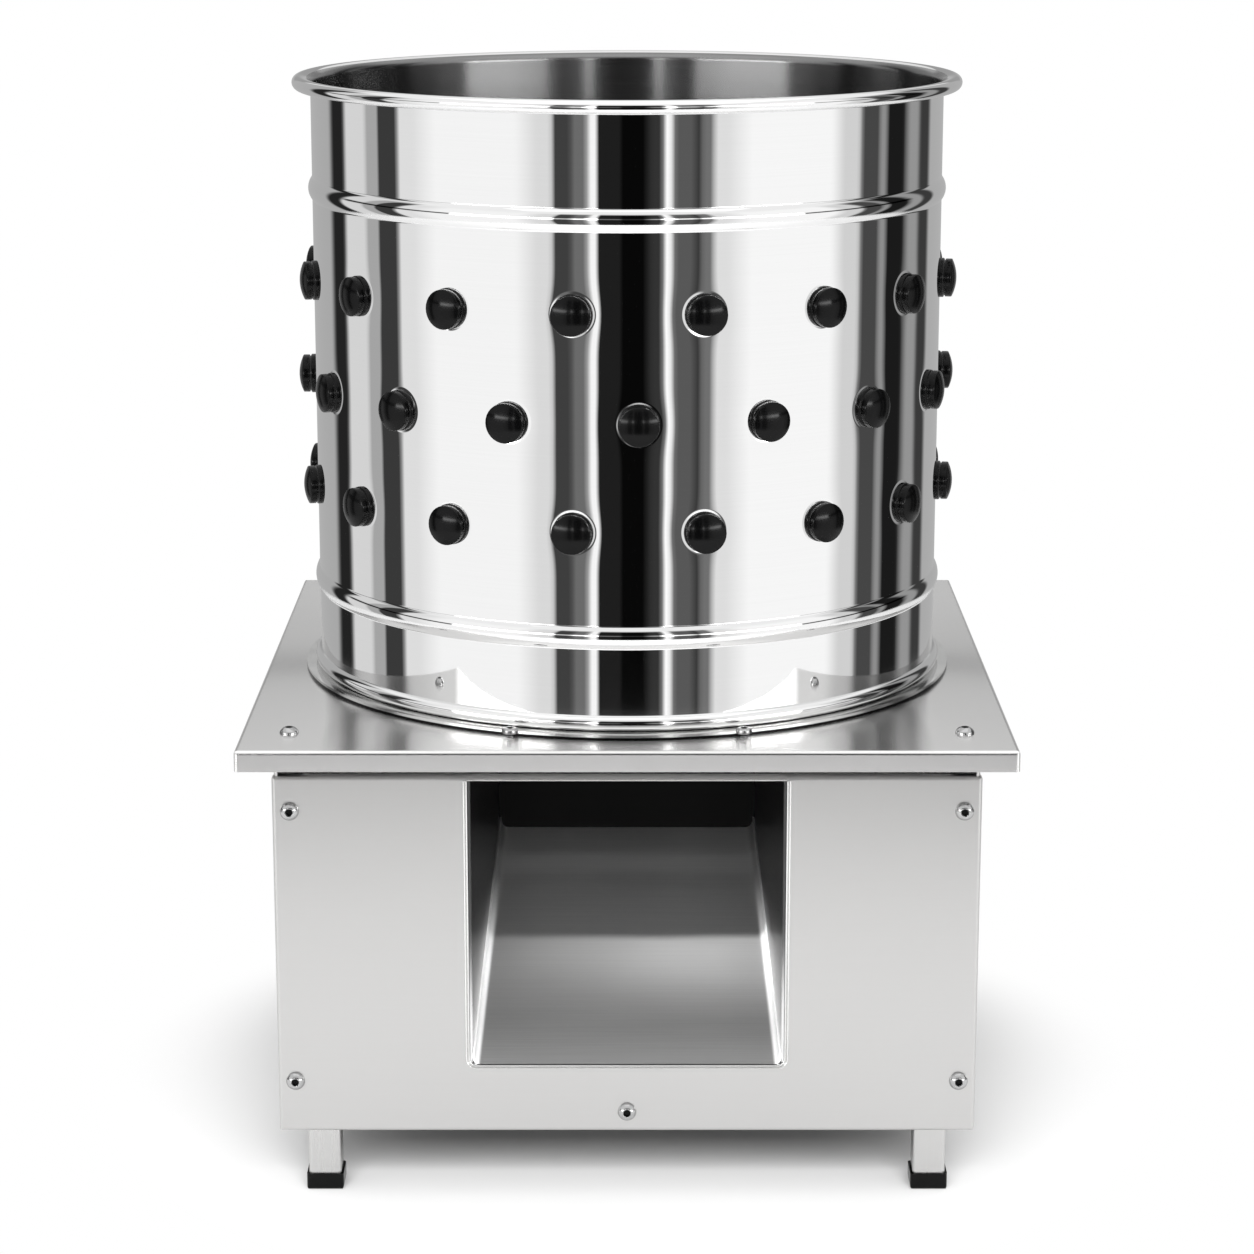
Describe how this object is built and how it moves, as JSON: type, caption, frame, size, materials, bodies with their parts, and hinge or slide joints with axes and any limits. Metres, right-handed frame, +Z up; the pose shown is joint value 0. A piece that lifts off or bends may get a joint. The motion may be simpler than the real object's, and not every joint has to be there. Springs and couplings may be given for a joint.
{
  "type": "poultry plucker",
  "caption": "Free-standing tub plucker: polished drum lined with rubber fingers over a belt-driven finger plate, on a square steel cabinet with a sloped feather outlet.",
  "frame": {"origin": "on the floor, below the drum's axis", "axes": "+Z up along the drum's axis; the feather outlet faces -Y"},
  "size_m": [0.584, 0.584, 0.8415],
  "materials": {
    "polished_steel": "mirror polished stainless sheet",
    "satin_steel": "satin stainless sheet",
    "chute_steel": "brushed stainless sheet",
    "rubber": "black moulded rubber",
    "machined_steel": "turned and sawn steel",
    "cast_iron": "grey casting",
    "motor_paint": "enamelled casting",
    "windings": "varnished copper and iron",
    "black_plastic": "moulded plastic",
    "green_plastic": "moulded plastic",
    "red_plastic": "moulded plastic"
  },
  "bodies": {
    "base": {"drum": "polished_steel", "drum_flange": "polished_steel", "flange_screws": "polished_steel", "button_screws": "polished_steel", "opening_hem": "polished_steel", "table": "satin_steel", "front_panel": "satin_steel", "rear_panel": "satin_steel", "side_panel_left": "satin_steel", "side_panel_right": "satin_steel", "legs": "satin_steel", "top_rails": "satin_steel", "base_rails": "satin_steel", "chute_floor": "chute_steel", "chute_walls": "chute_steel", "drum_gasket": "rubber", "finger_row_low": "rubber", "finger_row_mid": "rubber", "finger_row_high": "rubber", "leg_caps": "rubber", "v_belt": "rubber", "insert_nuts": "machined_steel", "flange_nuts": "machined_steel", "bearing_plate": "machined_steel", "drive_plate": "machined_steel", "bearing_outer_rings": "machined_steel", "hex_bolts": "machined_steel", "motor_bearings": "machined_steel", "motor_bolts": "machined_steel", "upper_bearing_housing": "cast_iron", "lower_bearing_housing": "cast_iron", "motor_housing": "motor_paint", "motor_lower_shield": "motor_paint", "motor_upper_shield": "motor_paint", "motor_fan_cover": "motor_paint", "motor_terminal_box": "motor_paint", "motor_stator": "windings", "switch_box": "black_plastic", "switch_plate": "black_plastic", "cable_gland": "black_plastic"},
    "feather_rotor": {"plate": "polished_steel", "plate_nut": "polished_steel", "sweeps": "polished_steel", "main_shaft": "machined_steel", "bearing_inner_rings": "machined_steel", "plate_hub": "machined_steel", "plate_washer": "machined_steel", "pulley_spacer": "machined_steel", "shaft_keys": "machined_steel", "shaft_circlip": "machined_steel", "plate_fingers": "rubber", "shaft_seal": "rubber", "large_pulley": "cast_iron"},
    "motor_rotor_body": {"motor_shaft": "machined_steel", "motor_rotor": "machined_steel", "motor_pulley": "cast_iron", "motor_fan": "black_plastic"},
    "start_push": {"start_button": "green_plastic"},
    "stop_push": {"stop_button": "red_plastic"}
  },
  "joints": [
    {"name": "plate_spin", "type": "hinge", "parent": "base", "child": "feather_rotor", "pos_m": [0, 0, 0.38], "axis": [0, 0, 1], "continuous": true},
    {"name": "motor_spin", "type": "hinge", "parent": "base", "child": "motor_rotor_body", "pos_m": [0, 0.18, 0.16], "axis": [0, 0, 1], "continuous": true},
    {"name": "start_press", "type": "slide", "parent": "base", "child": "start_push", "axis": [0, -1, 0], "range_m": [0, 0.003], "stiffness_N_per_m": 600},
    {"name": "stop_press", "type": "slide", "parent": "base", "child": "stop_push", "axis": [0, -1, 0], "range_m": [0, 0.003], "stiffness_N_per_m": 600}
  ],
  "couplings": [
    {"joint": "motor_spin", "follows": "plate_spin", "ratio": 4.5}
  ]
}
